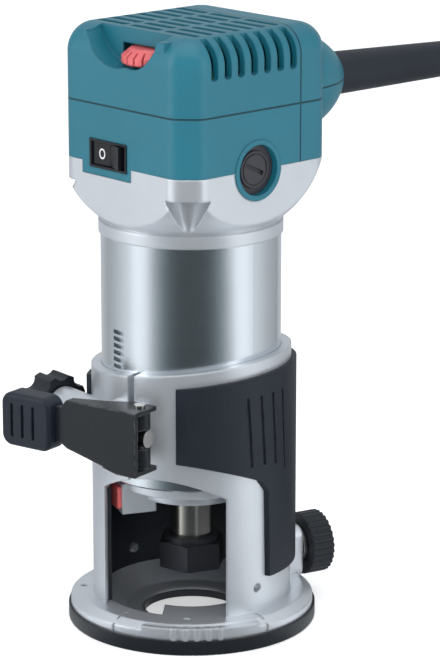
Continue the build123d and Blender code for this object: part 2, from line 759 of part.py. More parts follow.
SWITCH_X = -6.0
SWITCH_Z = 176.4
DIAL_X = 5.0
DIAL_Y = -20.0
DIAL_R = 12.6
POCKET_BACK = -25.0
VENT_ROWS = [-20.3 + 6.2 * k for k in range(7)]
TOP_ROUND = 10.0
POST_R = 4.6
TAIL_R = 19.6
TAIL_IN = 15.6
TAIL_IN_END = 51.0
CLAMP_POSTS = ((8.5, 45.5), (-8.5, 45.5))


def cover_shell(low, high, front, back):
    """A length of the head's shell between two heights and two Y planes, open at top and bottom."""
    with BuildPart() as shell:
        with BuildSketch(Plane.XY.offset(low)):
            add(head_outline())
            add(head_outline(WALL), mode=Mode.SUBTRACT)
        extrude(amount=high - low)
        with BuildSketch(Plane.XY.offset(low)):
            with Locations((0, (front + back) / 2)):
                Rectangle(2 * HEAD_X + 4, back - front)
        extrude(amount=high - low, mode=Mode.INTERSECT)
    return shell.part


def tail_solid():
    """The domed tail that holds the lead's guard, with cheeks that run into the head's rear corners."""
    with BuildPart() as tail:
        with BuildSketch(Plane(origin=(0, 34, SEAM_MID + 3), x_dir=(1, 0, 0), z_dir=(0, 1, 0))):
            RectangleRounded(62.8, 38, 14)
        with BuildSketch(Plane(origin=(0, 47, SEAM_MID), x_dir=(1, 0, 0), z_dir=(0, 1, 0))):
            RectangleRounded(36, 36, 17)
        loft()
        with BuildSketch(Plane.YZ):
            with BuildLine():
                Polyline((30, SEAM_MID), (30, SEAM_MID + TAIL_R), (46, SEAM_MID + TAIL_R))
                ThreePointArc(
                    (46, SEAM_MID + TAIL_R), (59.5, SEAM_MID + 15.2), (TAIL_END, SEAM_MID + 8.9),
                )
                Polyline((TAIL_END, SEAM_MID + 8.9), (TAIL_END, SEAM_MID), (30, SEAM_MID))
            make_face()
        revolve(axis=Axis((0, 0, SEAM_MID), (0, 1, 0)))
    return tail.part


def posts(pairs, low, high, radius):
    """Upright cylinders round the cover screws."""
    with BuildPart() as columns:
        for px, py in pairs:
            with BuildSketch(Plane(origin=(px, py, low))):
                Circle(radius)
            extrude(amount=high - low)
    return columns.part


FRONT_POSTS = POSTS[:2]
BACK_POSTS = POSTS[2:]

with BuildPart() as lower_cover:
    add(cover_shell(SEAM_LOW, SEAM_MID, -40, REAR_SEAM_Y))
    add(posts(FRONT_POSTS, SEAM_LOW, SEAM_MID, POST_R))
    # Rings round the brush caps, hanging below the seam
    for side in (-1, 1):
        with BuildSketch(Plane(origin=(side * 31.4, 0, BRUSH_Z), z_dir=(side, 0, 0))):
            Circle(BRUSH_RING_R)
        extrude(amount=4.0)
    # Frame of the switch, hanging below the seam
    with BuildSketch(Plane(origin=(0, -HEAD_FRONT + WALL, 0), x_dir=(1, 0, 0), z_dir=(0, -1, 0))):
        with Locations((-7, 176.6)):
            Rectangle(26, 16)
    extrude(amount=WALL)
    with BuildSketch(Plane(origin=(0, -20, 0), x_dir=(1, 0, 0), z_dir=(0, -1, 0))):
        with Locations((SWITCH_X, SWITCH_Z)):
            Rectangle(20, 10.3)
    extrude(amount=20, mode=Mode.SUBTRACT)
    for side in (-1, 1):
        with BuildSketch(Plane(origin=(side * 25, 0, BRUSH_Z), z_dir=(side, 0, 0))):
            Circle(9.0)
        extrude(amount=15, mode=Mode.SUBTRACT)
    add(posts(FRONT_POSTS, SEAM_LOW - 1, SEAM_MID + 1, 1.95), mode=Mode.SUBTRACT)
save(lower_cover, "lower_cover")


def rounded_top(inset, front, back):
    """The closed top of the head as a solid with rounded upper edges."""
    with BuildPart() as top:
        with BuildSketch(Plane.XY.offset(SEAM_MID)):
            add(head_outline(inset))
        extrude(amount=HEAD_TOP - inset - SEAM_MID)
        fillet(top.faces().sort_by(Axis.Z)[-1].edges(), TOP_ROUND - inset)
        with BuildSketch(Plane.XY.offset(SEAM_MID)):
            with Locations((0, (front + back) / 2)):
                Rectangle(2 * HEAD_X + 4, back - front)
        extrude(amount=40, mode=Mode.INTERSECT)
    return top.part


with BuildPart() as upper_cover:
    add(rounded_top(0, -40, REAR_SEAM_Y))
    add(rounded_top(WALL, -40, REAR_SEAM_Y), mode=Mode.SUBTRACT)
    add(posts(FRONT_POSTS, SEAM_MID, 207, POST_R))
    add(posts(FRONT_POSTS, SEAM_MID - 1, 204, 1.7), mode=Mode.SUBTRACT)
    # Vents across the top, wrapping down both sides
    for y in VENT_ROWS:
        for x, width in ((-18.2, 16.4), (0, 15.5), (18.2, 16.4)):
            with BuildSketch(Plane.XY.offset(HEAD_TOP - WALL - 1)):
                with Locations((x, y)):
                    RectangleRounded(width, 3.0, 1.2)
            extrude(amount=WALL + 3, mode=Mode.SUBTRACT)
        for side in (-1, 1):
            with BuildSketch(Plane(origin=(side * 28.5, y, 0), x_dir=(0, 1, 0), z_dir=(side, 0, 0))):
                with Locations((0, 213.8)):
                    RectangleRounded(3.2, 14.4, 1.2)
            extrude(amount=9, mode=Mode.SUBTRACT)
    # Walls of the dial's pocket
    with BuildSketch(Plane.XY.offset(205.4)):
        with Locations((1, (POCKET_BACK - HEAD_FRONT) / 2 + 1.2)):
            Rectangle(43, 8.5)
    extrude(amount=HEAD_TOP - 205.4 - 1.5)
    with BuildSketch(Plane(origin=(0, POCKET_BACK, 0), x_dir=(1, 0, 0), z_dir=(0, -1, 0))):
        with BuildLine():
            Line((-18.5, 226), (-18.5, 219))
            ThreePointArc((-18.5, 219), (-12.4, 211.0), (3, 208.8))
            ThreePointArc((3, 208.8), (13.4, 210.8), (17.4, 216))
            Polyline((17.4, 216), (20.5, 226), (-18.5, 226))
        make_face()
    extrude(amount=20, mode=Mode.SUBTRACT)
    with BuildSketch(Plane.XY.offset(208.6)):
        with Locations((DIAL_X, DIAL_Y)):
            Circle(DIAL_R + 0.7)
    extrude(amount=7.0, mode=Mode.SUBTRACT)
save(upper_cover, "upper_cover")

with BuildPart() as guard_passage:
    with BuildSketch(Plane.XZ.offset(-30)):
        with Locations((0, SEAM_MID)):
            Circle(8.35)
    extrude(amount=-60)
    with BuildSketch(Plane.XZ.offset(-56)):
        with Locations((0, SEAM_MID)):
            Circle(11.2)
    extrude(amount=-4.4)

with BuildPart() as rear_upper_cover:
    add(rounded_top(0, REAR_SEAM_Y, 60))
    add(tail_solid())
    with BuildSketch(Plane.XY.offset(SEAM_MID)):
        with Locations((0, REAR_SEAM_Y + 40)):
            Rectangle(90, 80)
    extrude(amount=60, mode=Mode.INTERSECT)
    add(rounded_top(WALL, 0, 60), mode=Mode.SUBTRACT)
    with BuildSketch(Plane.XZ.offset(-20)):
        with Locations((0, SEAM_MID)):
            Circle(TAIL_IN)
    extrude(amount=-(TAIL_IN_END - 20), mode=Mode.SUBTRACT)
    add(guard_passage.part, mode=Mode.SUBTRACT)
    add(posts(BACK_POSTS, SEAM_MID, 207, POST_R))
    add(posts(BACK_POSTS, SEAM_MID - 1, 204, 1.7), mode=Mode.SUBTRACT)
save(rear_upper_cover, "rear_upper_cover")

with BuildPart() as rear_lower_cover:
    with BuildSketch(Plane.XY.offset(SEAM_LOW)):
        add(head_outline())
    extrude(amount=SEAM_MID - SEAM_LOW)
    add(tail_solid())
    with BuildSketch(Plane.XY.offset(SEAM_LOW)):
        with Locations((0, REAR_SEAM_Y + 40)):
            Rectangle(90, 80)
    extrude(amount=SEAM_MID - SEAM_LOW, mode=Mode.INTERSECT)
    with BuildSketch(Plane.XY.offset(SEAM_LOW)):
        add(head_outline(WALL))
    extrude(amount=SEAM_MID - SEAM_LOW, mode=Mode.SUBTRACT)
    with BuildSketch(Plane.XZ.offset(-20)):
        with Locations((0, SEAM_MID)):
            Circle(TAIL_IN)
    extrude(amount=-(TAIL_IN_END - 20), mode=Mode.SUBTRACT)
    add(guard_passage.part, mode=Mode.SUBTRACT)
    add(posts(BACK_POSTS, SEAM_LOW, SEAM_MID, POST_R))
    add(posts(BACK_POSTS, SEAM_LOW - 1, SEAM_MID + 1, 1.95), mode=Mode.SUBTRACT)
    # Bosses that take the cord clamp's screws
    add(posts(CLAMP_POSTS, SEAM_MID - 14.6, SEAM_MID + 2.48, 3.0))
    add(posts(CLAMP_POSTS, SEAM_MID - 7.05, SEAM_MID + 3, 1.5), mode=Mode.SUBTRACT)
save(rear_lower_cover, "rear_lower_cover")

with BuildPart() as cover_screws:
    for px, py in POSTS:
        with BuildSketch(Plane(origin=(px, py, 167.0))):
            Circle(3.2)
            RegularPolygon(1.5, 6, mode=Mode.SUBTRACT)
        extrude(amount=2.4)
        with BuildSketch(Plane(origin=(px, py, 168.6))):
            Circle(1.65)
        extrude(amount=34)
save(cover_screws, "cover_screws")

# ---------------------------------------------------------------- inside the head

with BuildPart() as bearing_carrier:
    with BuildSketch(Plane.XY.offset(184.3)):
        Rectangle(2 * HEAD_X - 2 * WALL - 0.4, 24)
        Circle(14.5)
        Circle(11.0, mode=Mode.SUBTRACT)
    extrude(amount=7.2)
    with BuildSketch(Plane.XY.offset(191.5)):
        Circle(14.5)
        Circle(6.0, mode=Mode.SUBTRACT)
    extrude(amount=1.6)
save(bearing_carrier, "bearing_carrier")

with BuildPart() as brush_holders:
    for side in (-1, 1):
        with BuildSketch(Plane(origin=(side * 12.6, 0, BRUSH_Z), z_dir=(side, 0, 0))):
            Rectangle(9.4, 12.4)
        extrude(amount=12)
        with BuildSketch(Plane(origin=(side * 24.6, 0, BRUSH_Z), z_dir=(side, 0, 0))):
            Circle(8.9)
        extrude(amount=8.2)
        with BuildSketch(Plane(origin=(side * 12, 0, BRUSH_Z), z_dir=(side, 0, 0))):
            Rectangle(6.4, 9.2)
        extrude(amount=13, mode=Mode.SUBTRACT)
        with BuildSketch(Plane(origin=(side * 24.6, 0, BRUSH_Z), z_dir=(side, 0, 0))):
            Circle(6.7)
        extrude(amount=9, mode=Mode.SUBTRACT)
save(brush_holders, "brush_holders")

with BuildPart() as brush_caps:
    for side in (-1, 1):
        with BuildSketch(Plane(origin=(side * 28.2, 0, BRUSH_Z), z_dir=(side, 0, 0))):
            Circle(6.6)
        extrude(amount=5.2)
        with BuildSketch(Plane(origin=(side * 32.2, 0, BRUSH_Z), x_dir=(0, 1, 0), z_dir=(side, 0, 0))):
            Rectangle(8.8, 1.5, rotation=-25)
        extrude(amount=3, mode=Mode.SUBTRACT)
        with BuildSketch(Plane(origin=(side * 32.9, 0, BRUSH_Z), z_dir=(side, 0, 0))):
            Circle(5.8)
            Circle(5.3, mode=Mode.SUBTRACT)
        extrude(amount=1, mode=Mode.SUBTRACT)
save(brush_caps, "brush_caps")

with BuildPart() as carbon_brushes:
    for side in (-1, 1):
        with BuildSketch(Plane(origin=(side * 10.15, 0, BRUSH_Z), z_dir=(side, 0, 0))):
            Rectangle(6.2, 9.0)
        extrude(amount=10.5)
save(carbon_brushes, "carbon_brushes")

# Brush springs as open coils between brush and cap
with BuildPart() as brush_springs:
    for side in (-1, 1):
        for turn in range(4):
            with BuildSketch(Plane(origin=(side * (20.9 + 1.9 * turn), 0, BRUSH_Z), z_dir=(side, 0, 0))):
                Circle(2.6)
                Circle(2.0, mode=Mode.SUBTRACT)
            extrude(amount=0.6)
        with BuildSketch(Plane(origin=(side * 20.9, 0, BRUSH_Z), z_dir=(side, 0, 0))):
            with Locations((2.3, 0)):
                Rectangle(0.6, 0.9)
        extrude(amount=7.3)
save(brush_springs, "brush_springs")


def switch_plane(y, dx=0):
    """A plane through the switch, square to Y, looking inwards."""
    return Plane(origin=(SWITCH_X + dx, y, SWITCH_Z), x_dir=(1, 0, 0), z_dir=(0, 1, 0))


with BuildPart() as switch_body:
    with BuildSketch(switch_plane(-HEAD_FRONT - 0.3)):
        Rectangle(19.8, 10.1)
    extrude(amount=3.2)
    with BuildSketch(switch_plane(-HEAD_FRONT + 2.9)):
        Rectangle(18.6, 8.8)
    extrude(amount=15)
    with BuildSketch(switch_plane(-HEAD_FRONT - 1)):
        Rectangle(18.0, 8.6)
    extrude(amount=8, mode=Mode.SUBTRACT)
    for dx in (-5, 0, 5):
        with BuildSketch(switch_plane(-15.7, dx)):
            Rectangle(0.8, 4.8)
        extrude(amount=3.4)
save(switch_body, "switch_body")

ROCKER_Y = -28.6
with BuildPart() as switch_rocker:
    with BuildSketch(Plane.XY.offset(SWITCH_Z - 4.1)):
        with BuildLine():
            Polyline(
                (SWITCH_X - 8.5, -33.0), (SWITCH_X, -32.7), (SWITCH_X + 7.0, -35.0), (SWITCH_X + 8.2, -30),
                (SWITCH_X + 4, -27.8), (SWITCH_X - 4, -27.8), (SWITCH_X - 8.4, -29.5), close=True,
            )
        make_face()
    extrude(amount=8.2)
    # Trunnions on the rocker's hinge axis
    with BuildSketch(Plane(origin=(SWITCH_X, ROCKER_Y, SWITCH_Z - 4.25))):
        Circle(1.2)
    extrude(amount=8.5)
save(switch_rocker, "switch_rocker")

with BuildPart() as speed_dial:
    with BuildSketch(Plane.XZ.offset(-DIAL_Y)):
        with BuildLine():
            Polyline(
                (DIAL_X, 209.3), (DIAL_X + DIAL_R - 0.6, 209.3), (DIAL_X + DIAL_R, 209.9),
                (DIAL_X + DIAL_R, 212.2), (DIAL_X + DIAL_R - 3.4, 214.9), (DIAL_X, 214.9),
                close=True,
            )
        make_face()
    revolve(axis=Axis((DIAL_X, DIAL_Y, 0), (0, 0, 1)))
    with BuildSketch(Plane.XY.offset(208)):
        with Locations((DIAL_X, DIAL_Y)):
            with PolarLocations(DIAL_R - 0.6, 22):
                Rectangle(3.6, 0.8)
    extrude(amount=8, mode=Mode.SUBTRACT)
    with BuildSketch(Plane.XY.offset(208)):
        with Locations((DIAL_X, DIAL_Y)):
            Circle(2.06)
    extrude(amount=6, mode=Mode.SUBTRACT)
save(speed_dial, "speed_dial")

with BuildPart() as speed_board:
    with BuildSketch(Plane.XY.offset(197.5)):
        with Locations((DIAL_X - 2, -12)):
            Rectangle(38, 24)
    extrude(amount=1.6)
    with BuildSketch(Plane.XY.offset(199.1)):
        with Locations((DIAL_X, DIAL_Y)):
            RectangleRounded(9.5, 7.5, 1)
        with Locations((DIAL_X + 2, -5)):
            Rectangle(14, 7)
        with Locations((DIAL_X - 14, -8)):
            Circle(4)
    extrude(amount=6)
    with BuildSketch(Plane.XY.offset(205)):
        with Locations((DIAL_X, DIAL_Y)):
            Circle(2.0)
    extrude(amount=8.6)
save(speed_board, "speed_board")

# Bar across the lead's inner end, screwed to two bosses of the lower rear cover
with BuildPart() as cord_clamp:
    with BuildSketch(Plane.XZ.offset(-42)):
        with Locations((0, SEAM_MID + 5.0)):
            RectangleRounded(24, 5, 1)
    extrude(amount=-7)
    with BuildSketch(Plane.XZ.offset(-41)):
        with Locations((0, SEAM_MID)):
            Circle(LEAD_D / 2)
    extrude(amount=-9, mode=Mode.SUBTRACT)
    for side in (-1, 1):
        with BuildSketch(Plane(origin=(side * 8.5, 45.5, SEAM_MID + 1))):
            Circle(1.5)
        extrude(amount=10, mode=Mode.SUBTRACT)
save(cord_clamp, "cord_clamp")

with BuildPart() as cord_clamp_screws:
    for side in (-1, 1):
        with BuildSketch(Plane(origin=(side * 8.5, 45.5, SEAM_MID + 7.5))):
            Circle(2.8)
            Rectangle(5.8, 0.7, mode=Mode.SUBTRACT)
        extrude(amount=1.8)
        with BuildSketch(Plane(origin=(side * 8.5, 45.5, SEAM_MID - 7))):
            Circle(1.5)
        extrude(amount=14.6)
save(cord_clamp_screws, "cord_clamp_screws")

# ---------------------------------------------------------------- collet, nut and spindle lock

with BuildPart() as collet:
    with BuildSketch(Plane.XZ):
        with BuildLine():
            Polyline(
                (COLLET_BORE_R, 20.2), (5.8, 20.2), (6.7, 21.8), (6.7, 23.8), (6.1, 24.8), (4.72, 38.7),
                (COLLET_BORE_R, 38.7), close=True,
            )
        make_face()
    revolve(axis=Axis.Z)
    with BuildSketch(Plane.XY.offset(25.2)):
        with PolarLocations(0, 3):
            Rectangle(0.8, 9, align=(Align.CENTER, Align.MIN))
    extrude(amount=20, mode=Mode.SUBTRACT)
save(collet, "collet")

with BuildPart() as collet_nut:
    with BuildSketch(Plane.XY.offset(19.6)):
        RegularPolygon(NUT_AF / 2, 6, major_radius=False, rotation=SPLIT_AZ + 28.5 - 90)
    extrude(amount=10.0)
    with BuildSketch(Plane.XY.offset(29.6)):
        Circle(10.4)
    extrude(amount=2.4)
    with BuildSketch(Plane.XZ):
        with BuildLine():
            Polyline((0, 19.2), (12.0, 19.2), (13.2, 20.6), (13.2, 28.6), (11.2, 29.8), (10.4, 31.2),
                     (9.8, 32), (0, 32), close=True)
        make_face()
    revolve(axis=Axis.Z, mode=Mode.INTERSECT)
    with BuildSketch(Plane.XZ):
        with BuildLine():
            Polyline(
                (0, 16), (5.4, 16), (5.4, 19.4), (6.8, 21.5), (6.8, 25.1), (SPINDLE_R + 0.06, 25.1),
                (SPINDLE_R + 0.06, 40), (0, 40), close=True,
            )
        make_face()
    revolve(axis=Axis.Z, mode=Mode.SUBTRACT)
save(collet_nut, "collet_nut")

with BuildPart() as lock_button:
    with BuildSketch(outward(LOCK_AZ, 24.6, LOCK_Z)):
        RectangleRounded(10.0, 8.5, 1.0)
    extrude(amount=5.4)
    with BuildSketch(outward(LOCK_AZ, 8.2, LOCK_Z)):
        Circle(1.8)
    extrude(amount=16.5)
save(lock_button, "lock_button")

with BuildPart() as lock_spring:
    for turn in range(3):
        with BuildSketch(outward(LOCK_AZ, 20.6 + 1.35 * turn, LOCK_Z)):
            Circle(3.4)
            Circle(2.8, mode=Mode.SUBTRACT)
        extrude(amount=0.6)
    with BuildSketch(outward(LOCK_AZ, 20.6, LOCK_Z)):
        with Locations((3.1, 0)):
            Rectangle(0.55, 0.8)
    extrude(amount=3.9)
save(lock_spring, "lock_spring")

# ---------------------------------------------------------------- mains lead

GUARD_DROOP = 1.6
GUARD_TIP_Z = SEAM_MID - GUARD_DROOP
with BuildPart() as cord_guard:
    with BuildSketch(Plane(origin=(0, 56.2, SEAM_MID), z_dir=(0, 1, 0))):
        Circle(11.0)
    extrude(amount=4)
    with BuildSketch(Plane(origin=(0, 60, SEAM_MID), z_dir=(0, 1, 0))):
        Circle(8.2)
    with BuildSketch(Plane(origin=(0, TAIL_END + 0.6, SEAM_MID), z_dir=(0, 1, 0))):
        Circle(8.2)
    loft()
    with BuildSketch(Plane(origin=(0, TAIL_END + 0.6, SEAM_MID), z_dir=(0, 1, 0))):
        Circle(8.1)
    with BuildSketch(Plane(origin=(0, GUARD_END, GUARD_TIP_Z), z_dir=(0, 1, 0))):
        Circle(6.6)
    loft()
    with BuildSketch(Plane(origin=(0, 50, SEAM_MID), z_dir=(0, 1, 0))):
        Circle(LEAD_D / 2)
    extrude(amount=12, mode=Mode.SUBTRACT)
save(cord_guard, "cord_guard")

with BuildPart() as inner_lead:
    with BuildSketch(Plane(origin=(0, 36, SEAM_MID), z_dir=(0, 1, 0))):
        Circle(LEAD_D / 2)
    extrude(amount=26)
save(inner_lead, "inner_lead")

LEAD_ROUTE = [
    (0, GUARD_END + 0.22, GUARD_TIP_Z),
    (0.3, 156, 191.4),
    (0.2, 178, 184.5),
    (-0.6, 197, 168.5),
    (-1.6, 208, 145),
    (-2.4, 212.6, 118),
    (-3.0, 214.2, 91),
    (-3.3, 214.6, 65),
    (-3.0, 214.5, 39.9),
    (3.8, 214.2, 23.3),
    (16.5, 213.9, 10.7),
    (33, 213.6, FLOOR_LEAD_Z),
    (COIL_X, COIL_Y + COIL_MEAN_R + LEAD_D, FLOOR_LEAD_Z),
]


def bend_radii(points):
    """For each corner, 0.45 of the shorter run over the tangent of half the turn."""
    radii = []
    for before, here, after in zip(points, points[1:], points[2:]):
        into = Vector(*here) - Vector(*before)
        out = Vector(*after) - Vector(*here)
        turn = radians(into.get_angle(out))
        radii.append(0.45 * min(into.length, out.length) / tan(turn / 2))
    return radii


lead_radii = bend_radii(LEAD_ROUTE)
print("lead bend radii", [round(r, 1) for r in lead_radii])
with BuildPart() as cord:
    with BuildLine() as lead_path:
        FilletPolyline(*LEAD_ROUTE, radius=lead_radii)
    with BuildSketch(Plane(origin=lead_path.line @ 0, z_dir=lead_path.line % 0)):
        Circle(LEAD_D / 2)
    sweep()
tube_length = sum(edge.length for edge in lead_path.edges())
print("lead tube length", tube_length)
print("lead tube volume over section times length", cord.part.volume / (pi * LEAD_D**2 / 4 * tube_length))
save(cord, "cord")

COIL_IN = COIL_MEAN_R - 1.5 * LEAD_D - 0.25
COIL_OUT = COIL_MEAN_R + 1.5 * LEAD_D + 0.25
COIL_HIGH = 3 * LEAD_D + 0.3
with BuildPart() as cord_coil:
    with BuildSketch(Plane.XZ.offset(-COIL_Y)):
        with Locations((COIL_X + (COIL_IN + COIL_OUT) / 2, COIL_HIGH / 2)):
            RectangleRounded(COIL_OUT - COIL_IN, COIL_HIGH, 3.5)
    revolve(axis=Axis((COIL_X, COIL_Y, 0), (0, 0, 1)))
save(cord_coil, "cord_coil")

# Two-pin plug lying on the coil's far side, its pins towards +X
PLUG_Y = COIL_Y + COIL_MEAN_R
PLUG_Z = COIL_HIGH + 0.05 + 7
PLUG_FRONT = COIL_X + 34


def plug_plane(x, y=PLUG_Y):
    """A plane across the plug at x, looking along the pins, its x direction along Y."""
    return Plane(origin=(x, y, PLUG_Z), x_dir=(0, 1, 0), z_dir=(1, 0, 0))


with BuildPart() as plug_body:
    with BuildSketch(plug_plane(PLUG_FRONT)):
        RectangleRounded(30, 14, 6.5)
    with BuildSketch(plug_plane(PLUG_FRONT - 22)):
        RectangleRounded(17, 13, 6)
    loft()
    with BuildSketch(plug_plane(PLUG_FRONT - 22)):
        Circle(6)
    with BuildSketch(plug_plane(PLUG_FRONT - 42)):
        Circle(4.6)
    loft()
save(plug_body, "plug_body")

with BuildPart() as plug_pins:
    for side in (-1, 1):
        with BuildSketch(plug_plane(PLUG_FRONT, PLUG_Y + side * 9.4)):
            Circle(2.0)
        extrude(amount=19)
    fillet(plug_pins.faces().group_by(Axis.X)[-1].edges(), 0.9)
save(plug_pins, "plug_pins")
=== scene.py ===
import json
from math import cos, pi, radians, sin

import bmesh
import bpy
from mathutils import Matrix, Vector


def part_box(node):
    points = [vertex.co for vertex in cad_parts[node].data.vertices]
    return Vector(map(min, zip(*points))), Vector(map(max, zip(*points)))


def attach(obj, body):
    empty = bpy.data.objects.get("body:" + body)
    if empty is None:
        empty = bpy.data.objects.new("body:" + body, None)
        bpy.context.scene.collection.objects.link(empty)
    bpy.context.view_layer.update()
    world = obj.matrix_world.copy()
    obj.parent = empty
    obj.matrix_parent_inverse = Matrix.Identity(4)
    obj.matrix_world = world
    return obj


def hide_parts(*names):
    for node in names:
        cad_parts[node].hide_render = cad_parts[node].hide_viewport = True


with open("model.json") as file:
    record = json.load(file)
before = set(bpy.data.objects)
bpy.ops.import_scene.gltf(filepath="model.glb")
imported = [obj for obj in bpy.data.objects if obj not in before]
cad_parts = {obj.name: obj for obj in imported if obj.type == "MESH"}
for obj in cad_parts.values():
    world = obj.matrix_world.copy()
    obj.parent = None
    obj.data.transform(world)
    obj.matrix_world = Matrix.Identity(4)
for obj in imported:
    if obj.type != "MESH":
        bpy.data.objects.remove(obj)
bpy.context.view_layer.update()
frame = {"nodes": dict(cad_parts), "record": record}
nodes = frame["nodes"]
MM = 0.001

# ---------------------------------------------------------------- camera

# A long lens in front of the object and to its right, looking slightly down
VIEW_AZ = radians(48)
CAMERA_AWAY = 1.06804
CAMERA_HIGH = 0.39288
CAMERA_PITCH = 0.260023
CAMERA_YAW = 0.009764

camera_data = bpy.data.cameras.new("camera")
camera_data.sensor_width = 36.0
camera_data.lens = 167.09
camera_data.clip_start = 0.05
camera_data.clip_end = 20
camera = bpy.data.objects.new("camera", camera_data)
camera.location = (CAMERA_AWAY * sin(VIEW_AZ), -CAMERA_AWAY * cos(VIEW_AZ), CAMERA_HIGH)
camera.rotation_euler = (pi / 2 - CAMERA_PITCH, 0, VIEW_AZ - CAMERA_YAW)
bpy.context.scene.collection.objects.link(camera)
bpy.context.scene.camera = camera

# ---------------------------------------------------------------- material tools


def maths(tree, operation, a, b=None):
    """One Math node; a and b are sockets or numbers."""
    made = tree.nodes.new("ShaderNodeMath")
    made.operation = operation
    for socket, value in zip(made.inputs, (a, b)):
        if isinstance(value, bpy.types.NodeSocket):
            tree.links.new(value, socket)
        elif value is not None:
            socket.default_value = value
    return made.outputs[0]


def ramp(tree, value, low, high, out_low=0.0, out_high=1.0):
    """Maps a socket from low..high to out_low..out_high, clamped and smooth."""
    made = tree.nodes.new("ShaderNodeMapRange")
    made.interpolation_type = "SMOOTHSTEP"
    tree.links.new(value, made.inputs["Value"])
    made.inputs["From Min"].default_value = low
    made.inputs["From Max"].default_value = high
    made.inputs["To Min"].default_value = out_low
    made.inputs["To Max"].default_value = out_high
    return made.outputs["Result"]


def noise(tree, scale, detail=3.0, stretch=(1, 1, 1)):
    """Noise over the object's own coordinates, in metres."""
    place = tree.nodes.new("ShaderNodeTexCoord")
    mapping = tree.nodes.new("ShaderNodeMapping")
    mapping.inputs["Scale"].default_value = stretch
    made = tree.nodes.new("ShaderNodeTexNoise")
    made.inputs["Scale"].default_value = scale
    made.inputs["Detail"].default_value = detail
    tree.links.new(place.outputs["Object"], mapping.inputs["Vector"])
    tree.links.new(mapping.outputs["Vector"], made.inputs["Vector"])
    return made.outputs["Fac"]


def mix(tree, factor, a, b):
    """A colour mix; a and b are sockets or colours."""
    made = tree.nodes.new("ShaderNodeMix")
    made.data_type = "RGBA"
    if isinstance(factor, bpy.types.NodeSocket):
        tree.links.new(factor, made.inputs[0])
    else:
        made.inputs[0].default_value = factor
    for socket, value in ((made.inputs[6], a), (made.inputs[7], b)):
        if isinstance(value, bpy.types.NodeSocket):
            tree.links.new(value, socket)
        else:
            socket.default_value = (*value[:3], 1)
    return made.outputs[2]


def linear(r, g, b):
    """An sRGB colour given in 0..255 as linear values."""
    out = []
    for c in (r / 255, g / 255, b / 255):
        out.append(c / 12.92 if c <= 0.04045 else ((c + 0.055) / 1.055) ** 2.4)
    return tuple(out)


def lines(tree, pairs):
    """A mask of thin lines: pairs of (distance from the line, distance where it fades out)."""
    total = None
    for distance, reach in pairs:
        here = ramp(tree, maths(tree, "ABSOLUTE", distance), reach * 0.5, reach, 1.0, 0.0)
        total = here if total is None else maths(tree, "MAXIMUM", total, here)
    return total


# Noise scales, per metre, of the mottle, the uneven gloss and the worn edges
CLOUD_SCALE = 45
GLOSS_SCALE = 160
WEAR_SCALE = 300

# A groove's depth, and its colour as a share of the colour around it
GROOVE_DEEP = 0.4 * MM
GROOVE_DARK = 0.2


def edge_wear(tree, rounded, amount):
    """A mask that is strongest where the rounded normal turns away from the face's own normal."""
    geometry = tree.nodes.new("ShaderNodeNewGeometry")
    dot = tree.nodes.new("ShaderNodeVectorMath")
    dot.operation = "DOT_PRODUCT"
    tree.links.new(rounded.outputs["Normal"], dot.inputs[0])
    tree.links.new(geometry.outputs["Normal"], dot.inputs[1])
    turned = ramp(tree, dot.outputs["Value"], 0.80, 0.985, 1.0, 0.0)
    patchy = ramp(tree, noise(tree, WEAR_SCALE), 0.35, 0.6)
    return maths(tree, "MULTIPLY", turned, maths(tree, "MULTIPLY", patchy, amount))


